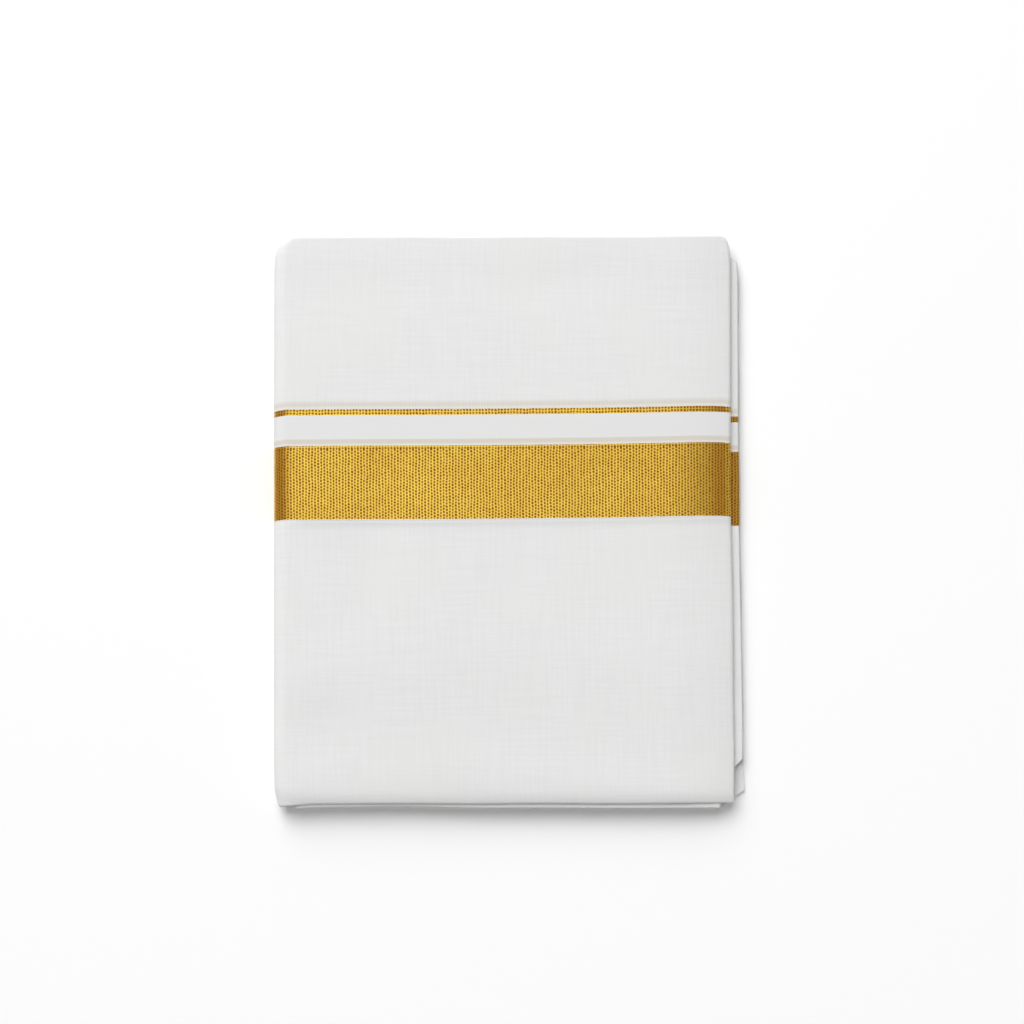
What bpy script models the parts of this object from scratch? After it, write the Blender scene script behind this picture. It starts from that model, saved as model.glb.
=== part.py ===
"""A white cotton dhoti with a gold zari border, pressed and folded into a flat rectangle.

The cloth is one woven length, and nothing is sewn to it. It is folded in four across its width,
into a strip with the border across its front, and the strip is folded in half three times along
its length. The outer strip runs over the top, round the spine at the left and under the stack to
the free end at the right. Everything is in metres, +Z up, with the origin under the middle.
"""

from collections import namedtuple
from math import cos, pi, sin

import bmesh
import bpy
import numpy as np

MM = 0.001

# The strip: its height, and where the borders lie across it, measured up from its middle
STRIP_HALF = 158.75 * MM
BAND = (1.1 * MM, 42.0 * MM)
LINE = (59.6 * MM, 62.9 * MM)
GAP = 0.3 * MM

# The stack: eight strips, of which the outer one is drawn as a flap that lies on a front panel
FLAP_WALL = 1.0 * MM
FRONT_WALL = 1.0 * MM
OUTER_STRIP = FLAP_WALL + GAP + FRONT_WALL
INNER_STRIP = 1.1 * MM
PITCH = INNER_STRIP + GAP
STACK_HEIGHT = 2 * OUTER_STRIP + 6 * INNER_STRIP + 7 * GAP
MIDDLE = STACK_HEIGHT / 2
TOP_FOLD_MIDDLE = (STACK_HEIGHT + MIDDLE + GAP / 2) / 2
TURN_REACH = 1.15  # a turn reaches this much further sideways than it is high
NOSE_TIP = 0.1 * MM  # half the blunt tip of a rounded upper or lower edge

# Where the strips lie in the plan: the upper half of the stack sits higher than the lower half,
# and drifts up or down along its length, in mm
UPPER_SHIFT = 1.75 * MM
LOWER_SHIFT = -1.75 * MM
Drift = namedtuple("Drift", "x up")
LEAN = [
    Drift(-132, -1.3),
    Drift(-117, -0.6),
    Drift(-35, -0.3),
    Drift(0, 0.0),
    Drift(55, 0.6),
    Drift(85, 1.2),
    Drift(107, 1.7),
    Drift(119, 1.6),
    Drift(124, 1.1),
]
LEAN_MIDDLE = 25 * MM
LEAN_REACH = 170 * MM
LEAN_AT_EDGES = 0.15

# The soft ramp of the front panel beside the flap's selvedge, on the top and underneath
RAMP_ON_TOP = 9.0 * MM
RAMP_BELOW = 1.5 * MM

# The stretch of the flap that closes round the top of the front panel
CLOSED_FOLD = 1.2 * MM

# Hidden layers: the filling joins them, and they are separate round its edges
EDGE_DEPTH = 5 * MM
LAYER_SET_BACK = 0.5 * MM
INNERMOST_SET_BACK = 1.3 * MM
SECOND_FOLD_START = 96 * MM
FILLING = (-122 * MM, 92 * MM)
SHORT_END = 6 * MM  # how far the short free end stops behind the long one

# The plan, in mm: height on the strip, spine, upper fold, second fold and free end
Section = namedtuple("Section", "height spine upper second free")
SECTIONS = [
    Section(158.75, -125.7, 119.0, 114.0, 112.0),
    Section(157.6, -127.8, 121.6, 119.5, 116.5),
    Section(154.0, -130.0, 123.2, 124.8, 122.0),
    Section(149.0, -131.3, 123.8, 127.9, 127.9),
    Section(141.0, -131.9, 123.9, 128.4, 129.4),
    Section(60.0, -132.0, 124.1, 128.4, 130.5),
    Section(0.0, -132.0, 124.1, 128.4, 130.9),
    Section(-45.0, -132.0, 124.7, 128.5, 131.1),
    Section(-100.0, -132.0, 125.2, 128.9, 131.6),
    Section(-131.0, -132.0, 125.7, 129.4, 132.0),
    Section(-135.0, -132.0, 125.7, 126.0, 132.0),
    Section(-149.0, -131.4, 125.9, 114.0, 132.0),
    Section(-157.6, -129.4, 126.0, 107.6, 120.6),
    Section(-158.75, -129.0, 126.0, 107.0, 118.8),
]

COTTON = ((0.82, 0.82, 0.80, 1.0), 0.85, 0.0)
ZARI = ((0.60, 0.37, 0.08, 1.0), 0.38, 0.75)

# One step along the path of a strip, seen along the folds. Its face is drawn at `radius` from a
# centre, straight up for a run over the top and straight down for a run underneath.
Step = namedtuple("Step", "share to centre radius grows angle below")
# One row across a strip: its height and the depths of its outer and inner faces
Row = namedtuple("Row", "height outer inner")


def clear_scene():
    for obj in list(bpy.data.objects):
        bpy.data.objects.remove(obj, do_unlink=True)


def edge(name, height):
    """The place of an edge in the plan at a height on the strip."""
    heights = [s.height for s in reversed(SECTIONS)]
    places = [getattr(s, name) for s in reversed(SECTIONS)]
    return float(np.interp(height / MM, heights, places)) * MM


def spine_centre(height):
    return edge("spine", height) + MIDDLE * TURN_REACH


def upper_fold_centre(height):
    return edge("upper", height) - (STACK_HEIGHT - TOP_FOLD_MIDDLE) * TURN_REACH


def inner_fold_centre(height):
    return upper_fold_centre(height) - GAP - (INNER_STRIP + GAP / 2) * TURN_REACH


def second_fold_centre(height):
    return edge("second", height) - (INNER_STRIP + GAP / 2) * TURN_REACH


# Where a run ends at the right, for each kind of run
RUN_ENDS = {
    "upper fold": upper_fold_centre,
    "inner fold": inner_fold_centre,
    "behind fold": lambda height: upper_fold_centre(height) - GAP,
    "second fold": second_fold_centre,
    "second start": lambda height: SECOND_FOLD_START,
    "before second": lambda height: SECOND_FOLD_START - GAP,
    "free end": lambda height: edge("free", height),
    "short end": lambda height: min(edge("free", height), edge("second", height)) - SHORT_END,
}


def lean(x, height):
    """How far the upper strips drift up or down along the stack, most at the border."""
    drift = float(np.interp(x / MM, [row.x for row in LEAN], [row.up for row in LEAN])) * MM
    return drift * max(LEAN_AT_EDGES, 1 - (abs(height - LEAN_MIDDLE) / LEAN_REACH) ** 1.5)


def place(height, depth, step):
    """The point of a strip at a height across it and a depth in from its outer face."""
    left = spine_centre(height)
    x = left + step.share * (RUN_ENDS[step.to](height) - left)
    reach = step.radius + step.grows * depth
    x += reach * TURN_REACH * sin(step.angle)
    z = step.centre + reach * cos(step.angle)
    shift = (1 - step.below) * (UPPER_SHIFT + lean(x, height)) + step.below * LOWER_SHIFT
    return x, height + shift, z


def run(to, centre, radius, grows, up, below, start, end, count):
    """Steps straight across the stack, from one share of its width to another."""
    angle = 0.0 if up else pi
    shares = np.linspace(start, end, count + 1)
    return [Step(share, to, centre, radius, grows, angle, below) for share in shares]


def turn(share, to, centre, radius, grows, start, end, count, below=(0, 0)):
    """Steps round a fold, from one angle to another."""
    angles = np.linspace(start, end, count + 1)
    sides = np.linspace(below[0], below[1], count + 1)
    return [Step(share, to, centre, radius, grows, a, b) for a, b in zip(angles, sides)]


def joined(*stretches):
    """The steps of several stretches in order, each point once."""
    path = list(stretches[0])
    for stretch in stretches[1:]:
        path += stretch[1:]
    return path


def outer_path():
    """Round the upper fold, over the top, round the spine and underneath to the free end."""
    fold = STACK_HEIGHT - TOP_FOLD_MIDDLE
    return joined(
        turn(1, "upper fold", TOP_FOLD_MIDDLE, fold, -1, pi, 0, 7),
        run("upper fold", MIDDLE, MIDDLE, -1, True, 0, 1, 0, 9),
        turn(0, "upper fold", MIDDLE, MIDDLE, -1, 0, -pi, 10, below=(0, 1)),
        run("free end", MIDDLE, MIDDLE, -1, False, 1, 0, 1, 3),
    )


def second_path():
    """The fold that shows under the upper one: out over it, round and back."""
    centre = MIDDLE - PITCH
    radius = INNER_STRIP + GAP / 2
    start = [Step(1, "second start", centre, radius, -1, 0.0, 1)]
    end = [Step(1, "second start", centre, radius, -1, pi, 1)]
    return start + turn(1, "second fold", centre, radius, -1, 0, pi, 6, below=(1, 1)) + end


def innermost_path():
    """The strip folded round itself at the middle of the stack."""
    radius = INNER_STRIP + GAP / 2
    return joined(
        run("behind fold", MIDDLE, radius, -1, True, 0, 1, 0, 3),
        turn(0, "behind fold", MIDDLE, radius, -1, 0, -pi, 6, below=(0, 1)),
        run("before second", MIDDLE, radius, -1, False, 1, 0, 1, 1),
    )


def winding_path():
    """From the second fold round the spine, back round the inner fold, and out to the short end."""
    radius = INNER_STRIP + GAP / 2
    upper_centre = MIDDLE + radius + GAP + INNER_STRIP + GAP / 2
    return joined(
        run("before second", MIDDLE, radius + PITCH, -1, False, 1, 1, 0, 1),
        turn(0, "inner fold", MIDDLE, radius + PITCH, -1, -pi, 0, 8, below=(1, 0)),
        run("inner fold", upper_centre, GAP / 2, 1, False, 0, 0, 1, 3),
        turn(1, "inner fold", upper_centre, GAP / 2, 1, pi, 0, 6),
        run("inner fold", MIDDLE, radius + 2 * PITCH - INNER_STRIP, 1, True, 0, 1, 0, 3),
        turn(0, "inner fold", MIDDLE, radius + 2 * PITCH - INNER_STRIP, 1, 0, -pi, 9, below=(0, 1)),
        run("short end", MIDDLE, radius + 2 * PITCH - INNER_STRIP, 1, False, 1, 0, 1, 2),
    )


def nose(edge_at, outer, inner, side):
    """Rows that round an upper (+1) or lower (-1) edge of a strip, from the tip inwards."""
    half = (inner - outer) / 2
    middle = (inner + outer) / 2
    rows = []
    for angle in (0, 30, 60, 90):
        spread = max(half * sin(angle * pi / 180), NOSE_TIP)
        back = half * (1 - cos(angle * pi / 180))
        rows.append(Row(edge_at - side * back, middle - spread, middle + spread))
    return rows


def plain_rows(low, high, outer, inner):
    """Rows across a stretch of even depth, one at each section of the plan inside it."""
    between = [s.height * MM for s in SECTIONS if low + MM < s.height * MM < high - MM]
    return [Row(h, outer, inner) for h in (high, *between, low)]


def strip_rows(low, high, outer, inner, round_top, round_bottom):
    """Rows from the top of a strip to its bottom, with its edges rounded or square."""
    half = (inner - outer) / 2
    top = nose(high, outer, inner, 1) if round_top else []
    bottom = nose(low, outer, inner, -1)[::-1] if round_bottom else []
    body = plain_rows(low + half * round_bottom, high - half * round_top, outer, inner)
    return top[:-1] + body + bottom[1:]


def upper_panel_rows():
    """The flap above the fine line. Its upper edge closes round the top of the front panel."""
    fold = nose(STRIP_HALF, 0, OUTER_STRIP, 1)
    closed = fold[-1].height - CLOSED_FOLD
    rows = fold + [Row(closed, 0, OUTER_STRIP), Row(closed - GAP, 0, FLAP_WALL)]
    return rows + plain_rows(LINE[1] + GAP, closed - 2 * GAP, 0, FLAP_WALL)


def front_panel_rows():
    """The panel that shows below the border. It runs on under the flap, up to its top fold."""
    under_flap = FLAP_WALL + GAP
    top = STRIP_HALF - OUTER_STRIP / 2 - CLOSED_FOLD - 2 * GAP
    ramp = ((0.0, 1.0), (0.12, 0.86), (0.3, 0.42), (0.55, 0.14), (1.0, 0.0))
    rows = plain_rows(BAND[0] + 0.5 * MM, top, under_flap, OUTER_STRIP)
    start = BAND[0] - GAP
    rows += [Row(start - share * RAMP_ON_TOP, depth * under_flap, OUTER_STRIP) for share, depth in ramp]
    low = strip_rows(-STRIP_HALF, start - RAMP_ON_TOP - 2 * MM, 0, OUTER_STRIP, False, True)
    return rows + low


def front_place(height, depth, step):
    """Like place, with the ramp beside the selvedge drawn in tight where the cloth is pressed flat."""
    start = BAND[0] - GAP
    past = start - height
    if 0 < past <= RAMP_ON_TOP:
        length = RAMP_ON_TOP + step.below * (RAMP_BELOW - RAMP_ON_TOP)
        height = start - past * length / RAMP_ON_TOP
    return place(height, depth, step)


def material(name, look):
    colour, roughness, metallic = look
    made = bpy.data.materials.new(name)
    made.use_nodes = True
    shader = made.node_tree.nodes["Principled BSDF"]
    shader.inputs["Base Color"].default_value = colour
    shader.inputs["Roughness"].default_value = roughness
    shader.inputs["Metallic"].default_value = metallic
    return made


def wall(name, rows, path, look, at=place):
    """A closed wall of cloth: a grid laid on the outer face, extruded to the inner face."""
    bm = bmesh.new()
    bmesh.ops.create_grid(bm, x_segments=len(path) - 1, y_segments=len(rows) - 1, size=0.5)
    row_of = bm.verts.layers.int.new("row")
    step_of = bm.verts.layers.int.new("step")
    for vert in bm.verts:
        vert[step_of] = round((vert.co.x + 0.5) * (len(path) - 1))
        vert[row_of] = round((vert.co.y + 0.5) * (len(rows) - 1))
    for vert in bm.verts:
        row = rows[vert[row_of]]
        vert.co = at(row.height, row.outer, path[vert[step_of]])
    extruded = bmesh.ops.extrude_face_region(bm, geom=bm.faces[:])["geom"]
    for vert in extruded:
        if isinstance(vert, bmesh.types.BMVert):
            row = rows[vert[row_of]]
            vert.co = at(row.height, row.inner, path[vert[step_of]])
    bmesh.ops.recalc_face_normals(bm, faces=bm.faces[:])
    mesh = bpy.data.meshes.new(name)
    bm.to_mesh(mesh)
    bm.free()
    mesh.materials.append(material(name, look))
    mesh.shade_smooth()
    mesh.set_sharp_from_angle(angle=0.6)
    obj = bpy.data.objects.new(name, mesh)
    bpy.context.scene.collection.objects.link(obj)
    return obj


def make_outer_strip():
    path = outer_path()
    wall("upper_panel", upper_panel_rows(), path, COTTON)
    wall("zari_line", plain_rows(*LINE, 0, FLAP_WALL), path, ZARI)
    wall("border_ground", plain_rows(BAND[1] + GAP, LINE[0] - GAP, 0, FLAP_WALL), path, COTTON)
    wall("zari_band", plain_rows(*BAND, 0, FLAP_WALL), path, ZARI)
    wall("front_panel", front_panel_rows(), path, COTTON, front_place)


def make_second_fold():
    """The same borders again, where the next fold shows under the upper one at the right."""
    path = second_path()
    wide = (0, INNER_STRIP)
    wall("second_upper", strip_rows(LINE[1] + GAP, STRIP_HALF, *wide, True, False), path, COTTON)
    wall("second_line", plain_rows(*LINE, *wide), path, ZARI)
    wall("second_ground", plain_rows(BAND[1] + GAP, LINE[0] - GAP, *wide), path, COTTON)
    wall("second_band", plain_rows(*BAND, *wide), path, ZARI)
    wall("second_lower", strip_rows(-STRIP_HALF, BAND[0] - GAP, *wide, False, True), path, COTTON)


def hidden_strip(name, path, set_back):
    half = STRIP_HALF - set_back
    return wall(name, strip_rows(-half, half, 0, INNER_STRIP, True, True), path, COTTON)


def filling():
    """A plain block inside the hidden strips, which makes them one solid."""
    bm = bmesh.new()
    bmesh.ops.create_cube(bm, size=1)
    size = (FILLING[1] - FILLING[0], 2 * (STRIP_HALF - EDGE_DEPTH), 2 * (MIDDLE - OUTER_STRIP - PITCH + GAP))
    bmesh.ops.scale(bm, vec=size, verts=bm.verts[:])
    bmesh.ops.translate(bm, vec=(sum(FILLING) / 2, 0, MIDDLE), verts=bm.verts[:])
    mesh = bpy.data.meshes.new("filling")
    bm.to_mesh(mesh)
    bm.free()
    obj = bpy.data.objects.new("filling", mesh)
    bpy.context.scene.collection.objects.link(obj)
    return obj


def make_hidden_layers():
    """The layers inside share one solid, and are separate along the edges, where they show."""
    layers = hidden_strip("hidden_layers", winding_path(), LAYER_SET_BACK)
    innermost = hidden_strip("innermost_layer", innermost_path(), INNERMOST_SET_BACK)
    for helper in (filling(), innermost):
        helper.hide_render = True
        helper.display_type = "WIRE"
        union = layers.modifiers.new(f"join {helper.name}", "BOOLEAN")
        union.operation = "UNION"
        union.object = helper


def main():
    clear_scene()
    make_outer_strip()
    make_second_fold()
    make_hidden_layers()


main()
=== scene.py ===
"""A white cotton dhoti with a gold border, pressed and folded flat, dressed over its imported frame.

The cloth is one woven length. It is folded in four across its width into a strip, with the border
across the strip's front, and the strip is folded in half three times along its length. Each piece
here is a thin sheet that follows the strip's path through the folds. Everything is in metres.
"""

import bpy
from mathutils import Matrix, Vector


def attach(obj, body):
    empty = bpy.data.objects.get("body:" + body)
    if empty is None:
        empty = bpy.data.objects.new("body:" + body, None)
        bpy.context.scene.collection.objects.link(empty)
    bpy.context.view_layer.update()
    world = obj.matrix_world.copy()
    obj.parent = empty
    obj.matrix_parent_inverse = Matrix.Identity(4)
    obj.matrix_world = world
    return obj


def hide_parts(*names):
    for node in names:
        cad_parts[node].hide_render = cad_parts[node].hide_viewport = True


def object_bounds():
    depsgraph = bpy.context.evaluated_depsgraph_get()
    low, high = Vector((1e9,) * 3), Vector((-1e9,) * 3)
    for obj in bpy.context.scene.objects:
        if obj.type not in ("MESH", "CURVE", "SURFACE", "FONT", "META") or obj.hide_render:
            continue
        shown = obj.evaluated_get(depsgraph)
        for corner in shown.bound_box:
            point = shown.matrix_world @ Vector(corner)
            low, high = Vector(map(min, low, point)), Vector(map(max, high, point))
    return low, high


bl_info = {
    "name": "Folded dhoti",
    "version": (1, 0, 0),
    "blender": (4, 5, 0),
    "location": "3D View > Sidebar > Dhoti",
    "description": "Builds a folded dhoti cloth over its packed frame",
    "category": "Object",
}

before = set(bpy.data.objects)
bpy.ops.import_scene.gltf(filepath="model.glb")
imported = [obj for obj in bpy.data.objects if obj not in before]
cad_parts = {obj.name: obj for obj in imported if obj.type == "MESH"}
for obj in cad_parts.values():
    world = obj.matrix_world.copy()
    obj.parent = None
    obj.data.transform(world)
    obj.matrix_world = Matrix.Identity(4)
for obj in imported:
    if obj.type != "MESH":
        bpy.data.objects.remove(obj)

from collections import namedtuple
from math import pi, radians

import bmesh
import bpy
import numpy as np
from mathutils import Vector

MM = 0.001
CAD_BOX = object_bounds()
STACK_HEIGHT = CAD_BOX[1].z - CAD_BOX[0].z
MIDDLE = STACK_HEIGHT / 2

# The strip: its half height, and where the borders lie across it, measured up from its middle
STRIP_HALF = 158.75 * MM
STRIP_LENGTH = 257 * MM  # along, from fold to fold
BAND = (0.4 * MM, 42.0 * MM)
LINE = (59.1 * MM, 62.4 * MM)
STRIP_PITCH = 0.43 * MM  # from one metal strip of the gold to the next

# The stack: one outer strip, once over the top and once underneath, and six inner ones
GAP = 0.28 * MM
INNER_STRIP = 1.25 * MM
OUTER_STRIP = (STACK_HEIGHT - 6 * INNER_STRIP - 7 * GAP) / 2
PITCH = INNER_STRIP + GAP
TURN = INNER_STRIP + GAP / 2
TURN_REACH = 1.15  # a turn reaches this much further sideways than it is high
PRESSED_REACH = 0.6  # and a fold that is pressed flat
TOP_FOLD_MIDDLE = (STACK_HEIGHT + MIDDLE + GAP / 2) / 2
NOSE_REACH = 0.62  # how far the rounded edge of a strip reaches, as a share of the strip's depth

# How far apart the rows of a stretch lie, where it shows and where it lies hidden
FINE_ROWS = 2.2 * MM
COARSE_ROWS = 9 * MM

# The upper half of the stack sits higher in the plan than the lower half, and drifts, in mm
UPPER_SHIFT = 1.75 * MM
LOWER_SHIFT = -1.75 * MM
Drift = namedtuple("Drift", "x up")
LEAN = [
    Drift(-132, -0.45),
    Drift(-127, -0.65),
    Drift(-117, -0.75),
    Drift(-95, -0.5),
    Drift(-35, -0.3),
    Drift(0, 0.0),
    Drift(55, 0.6),
    Drift(85, 1.2),
    Drift(107, 1.7),
    Drift(119, 1.6),
    Drift(124, 1.1),
]
LEAN_MIDDLE = 25 * MM
LEAN_REACH = 170 * MM
LEAN_AT_EDGES = 0.15

# The plan, in mm: height on the strip, spine, upper fold, second fold and free end
Section = namedtuple("Section", "height spine upper second free")
SECTIONS = [
    Section(158.75, -125.7, 119.0, 114.0, 112.0),
    Section(157.6, -127.8, 121.6, 119.5, 116.5),
    Section(154.0, -130.0, 123.2, 124.8, 122.0),
    Section(149.0, -131.3, 124.1, 128.0, 127.9),
    Section(141.0, -131.6, 124.3, 128.7, 129.0),
    Section(60.0, -131.7, 124.4, 129.0, 129.6),
    Section(30.0, -131.7, 124.2, 129.3, 129.9),
    Section(0.0, -131.7, 124.5, 129.5, 130.2),
    Section(-45.0, -131.7, 125.6, 130.3, 130.7),
    Section(-100.0, -131.7, 125.9, 131.3, 131.6),
    Section(-131.0, -131.7, 126.4, 131.6, 132.0),
    Section(-135.0, -131.7, 126.4, 126.3, 132.0),
    Section(-149.0, -131.4, 126.3, 114.0, 132.0),
    Section(-157.6, -129.4, 126.2, 107.6, 120.6),
    Section(-158.75, -129.0, 126.2, 107.0, 118.8),
]
SHORT_END = 6 * MM  # how far the short free end stops behind the long one

# How far each strip's upper and lower edge is set back inside the outer one, in mm
SetBack = namedtuple("SetBack", "top low")
SET_BACKS = {
    "T1": SetBack(0.0, 0.0),
    "T2": SetBack(0.8, -1.8),
    "T3": SetBack(0.5, -2.3),
    "T4": SetBack(1.0, -2.5),
    "L1": SetBack(0.7, 0.1),
    "L2": SetBack(1.2, 0.9),
    "L3": SetBack(0.6, 0.6),
    "L4": SetBack(0.0, 0.3),
}

# How the strips inside are drawn in at the stack's lower corners: from which height below the
# middle, over what distance, and how far, in mm
DRAWN_FROM, DRAWN_OVER, DRAWN_IN = 148, 9, 5.6

# Where the cloth falls away: from and to, how deep at the end, and how sharply it bends, in mm
Fall = namedtuple("Fall", "start end depth power")
FALL_TO_FOLD = Fall(86, 125, 3.9, 2.4)
FALL_TO_SPINE = Fall(-107, -129, 0.4, 2)
FALL_TO_LOWER_EDGE = Fall(-149, -157, 1.35, 2.2)
FALL_OF_LOWER_HALF = Fall(112, 129.5, 1.0, 2)

# The ridge at the selvedge, in mm: its rise and width, and how far and over what width the cloth
# drops below it and comes back
RIDGE_RISE, RIDGE_WIDTH = 0.36, 16
DROP, DROP_WIDTH = 0.62, 2.6
RETURN, RETURN_WIDTH = 0.26, 45

# Soft creases and swells: where each starts and ends in the plan, its width, and its rise, in mm
Crease = namedtuple("Crease", "x0 y0 x1 y1 width rise")
TOP_CREASES = [
    Crease(-46, -2, -44, -118, 26, 0.38),
    Crease(-76, -6, -103, -112, 15, -0.34),
    Crease(10, 0, 4, -34, 10, -0.22),
    Crease(-112, -142, 96, -145, 11, 0.30),
    Crease(-100, -76, 95, -80, 28, 0.46),
    Crease(-96, -84, -112, -92, 16, 0.44),
    Crease(-110, 132, 100, 133, 22, -0.42),
    Crease(14, 134, 52, 140, 13, -0.22),
    Crease(104, -16, 108, -128, 9, -0.26),
    Crease(-93, 38, -92, 5, 13, 0.20),
    Crease(-66, 38, -67, 5, 14, -0.16),
    Crease(22, 36, 24, 4, 12, 0.12),
    Crease(50, 36, 48, 4, 14, -0.12),
    Crease(60, 120, 74, 76, 22, 0.22),
]
LOW_CREASES = [
    Crease(-62, 96, -40, -70, 12, 0.35),
    Crease(34, 120, 52, 10, 9, 0.30),
    Crease(72, -40, 58, -132, 14, 0.35),
    Crease(-108, -20, -98, -140, 10, 0.28),
]

# The camera: its sensor in mm, and what the picture's width covers at the cloth's upper face
SENSOR = 36
PICTURE_WIDTH = 0.5724

# A step along the strip's path, seen along the folds. It lies at a share of the way from the spine
# (0) to where its run ends (1). The front face lies at `radius` from a centre, and the cloth's depth
# grows outwards (+1) or inwards (-1). `angle` is where it lies round that centre, from straight up,
# and a turn reaches `reach` times as far sideways as it is high. `below` is 0 in the upper half of
# the stack and 1 in the lower half. `strip` names the strips before and after the step, and how far
# it is from one to the other.
Step = namedtuple("Step", "share to centre radius grows angle below reach strip")


def edge(name, height):
    """The place of an edge in the plan, at heights on the strip."""
    heights = [s.height for s in reversed(SECTIONS)]
    places = [getattr(s, name) for s in reversed(SECTIONS)]
    return np.interp(height / MM, heights, places) * MM


def upper_fold_centre(height):
    """The middle of the turn at the upper fold, at heights on the strip."""
    return edge("upper", height) - (STACK_HEIGHT - TOP_FOLD_MIDDLE) * PRESSED_REACH


def ragged(across):
    """The cut ends aren't quite even."""
    return (0.28 * np.sin(across / (9 * MM)) + 0.17 * np.sin(across / (3.7 * MM) + 1)) * MM


def drawn_in(height):
    """How far the strips inside are drawn in at the stack's lower corners."""
    return DRAWN_IN * MM * np.clip((-height / MM - DRAWN_FROM) / DRAWN_OVER, 0, 1)


def run_end(name, height, across):
    """Where a run ends at the right, at heights on the strip."""
    if name == "upper fold":
        return upper_fold_centre(height)
    if name == "inner fold":
        return upper_fold_centre(height) - GAP - TURN * TURN_REACH - drawn_in(height)
    if name == "behind fold":
        return upper_fold_centre(height) - GAP - drawn_in(height)
    if name == "second fold":
        return edge("second", height) - TURN * PRESSED_REACH
    if name == "free end":
        return edge("free", height) + ragged(across)
    return np.minimum(edge("free", height), edge("second", height)) - SHORT_END + ragged(across)


def run(strip, to, centre, radius, grows, up, start, end, pitch):
    """Steps straight across the stack, from one share of its width to another."""
    count = round(abs(end - start) * STRIP_LENGTH / pitch)
    below = 0.0 if strip[0] == "T" else 1.0
    angle = 0.0 if up else pi
    shares = np.linspace(start, end, count + 1)
    ends = (strip, strip, 0)
    return [Step(share, to, centre, radius, grows, angle, below, 1, ends) for share in shares]


def turn(strips, share, to, centre, radius, grows, start, end, count, reach=TURN_REACH):
    """Steps round a fold from one strip to the next."""
    made = []
    for part in np.linspace(0, 1, count + 1):
        angle = start + part * (end - start)
        sides = [0.0 if strip[0] == "T" else 1.0 for strip in strips]
        below = sides[0] + part * (sides[1] - sides[0])
        made.append(Step(share, to, centre, radius, grows, angle, below, reach, (*strips, part)))
    return made


def joined(*stretches):
    """The steps of several stretches in order, each point once."""
    path = list(stretches[0])
    for stretch in stretches[1:]:
        path += stretch[1:]
    return path


def outer_path():
    """Round the upper fold, over the top, round the spine and underneath to the free end. Its first
    turn keeps the upper strip's set-back all the way round."""
    fold = STACK_HEIGHT - TOP_FOLD_MIDDLE
    return joined(
        turn(("T1", "T1"), 1, "upper fold", TOP_FOLD_MIDDLE, fold, -1, pi, 0, 20, PRESSED_REACH),
        run("T1", "upper fold", MIDDLE, MIDDLE, -1, True, 1, 0, 2.3 * MM),
        turn(("T1", "L4"), 0, "upper fold", MIDDLE, MIDDLE, -1, 0, -pi, 30),
        run("L4", "free end", MIDDLE, MIDDLE, -1, False, 0, 1, 3.6 * MM),
    )


def inner_path():
    """The strip inside: six runs, from behind the upper fold to the short free end."""
    top = TURN + PITCH
    wound = top + GAP
    pitch = 4.5 * MM
    return joined(
        run("T4", "behind fold", MIDDLE, GAP / 2, 1, True, 1, 0, pitch),
        turn(("T4", "L1"), 0, "behind fold", MIDDLE, GAP / 2, 1, 0, -pi, 10),
        run("L1", "second fold", MIDDLE - PITCH, TURN, -1, True, 0, 1, pitch),
        turn(("L1", "L2"), 1, "second fold", MIDDLE - PITCH, TURN, -1, 0, pi, 16, PRESSED_REACH),
        run("L2", "second fold", MIDDLE, top, -1, False, 1, 0, pitch),
        turn(("L2", "T3"), 0, "inner fold", MIDDLE, top, -1, -pi, 0, 14),
        run("T3", "inner fold", MIDDLE, top, -1, True, 0, 1, pitch),
        turn(("T3", "T2"), 1, "inner fold", MIDDLE + top + GAP / 2, GAP / 2, 1, pi, 0, 12),
        run("T2", "inner fold", MIDDLE, wound, 1, True, 1, 0, pitch),
        turn(("T2", "L3"), 0, "inner fold", MIDDLE, wound, 1, 0, -pi, 18),
        run("L3", "short end", MIDDLE, wound, 1, False, 0, 1, pitch),
    )


class Cut:
    """The section of a stretch of cloth across the strip: its outer face, its inner face, and
    how far along the cloth's width each row lies."""

    def __init__(self, face, thickness, known=0):
        face = np.array(face, float)
        ahead = np.gradient(face, axis=0)
        ahead /= np.linalg.norm(ahead, axis=1)[:, None]
        inwards = np.stack([-ahead[:, 1], ahead[:, 0]], axis=1)
        self.outer = face
        self.inner = face + inwards * thickness
        lengths = np.linalg.norm(np.diff(face, axis=0), axis=1)
        across = np.concatenate([[0], np.cumsum(lengths)])
        self.across = across - across[known] + face[known, 0]
        self.width = float(self.across[-1] - self.across[0])


def level(start, end, depth, pitch):
    """Rows at one depth, from one height to another."""
    count = max(1, round(abs(end - start) / pitch))
    return [(height, depth) for height in np.linspace(start, end, count + 1)]


def nose(side, wide):
    """Rows round the upper (+1) or lower (-1) edge of a strip `wide` deep."""
    reach, half = NOSE_REACH * wide, wide / 2
    angles = np.linspace(0, pi, 13)
    if side < 0:
        angles = angles[::-1]
    tip = STRIP_HALF - reach
    return [(side * (tip + reach * np.sin(a)), half - half * np.cos(a)) for a in angles]


def lean(x, height):
    """How far the upper strips drift up or down along the stack, most at the border."""
    drift = np.interp(x / MM, [row.x for row in LEAN], [row.up for row in LEAN]) * MM
    return drift * np.maximum(LEAN_AT_EDGES, 1 - (np.abs(height - LEAN_MIDDLE) / LEAN_REACH) ** 1.5)


def smooth(start, end, value):
    """A soft step from 0 to 1."""
    share = np.clip((value - start) / (end - start), 0, 1)
    return share * share * (3 - 2 * share)


def ramp(start, end, value):
    """A straight step from 0 to 1 between two places in mm."""
    return np.clip((value / MM - start) / (end - start), 0, 1)


def fallen(fall, value):
    """How deep the cloth lies, in mm, where it falls away."""
    return fall.depth * ramp(fall.start, fall.end, value) ** fall.power


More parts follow.
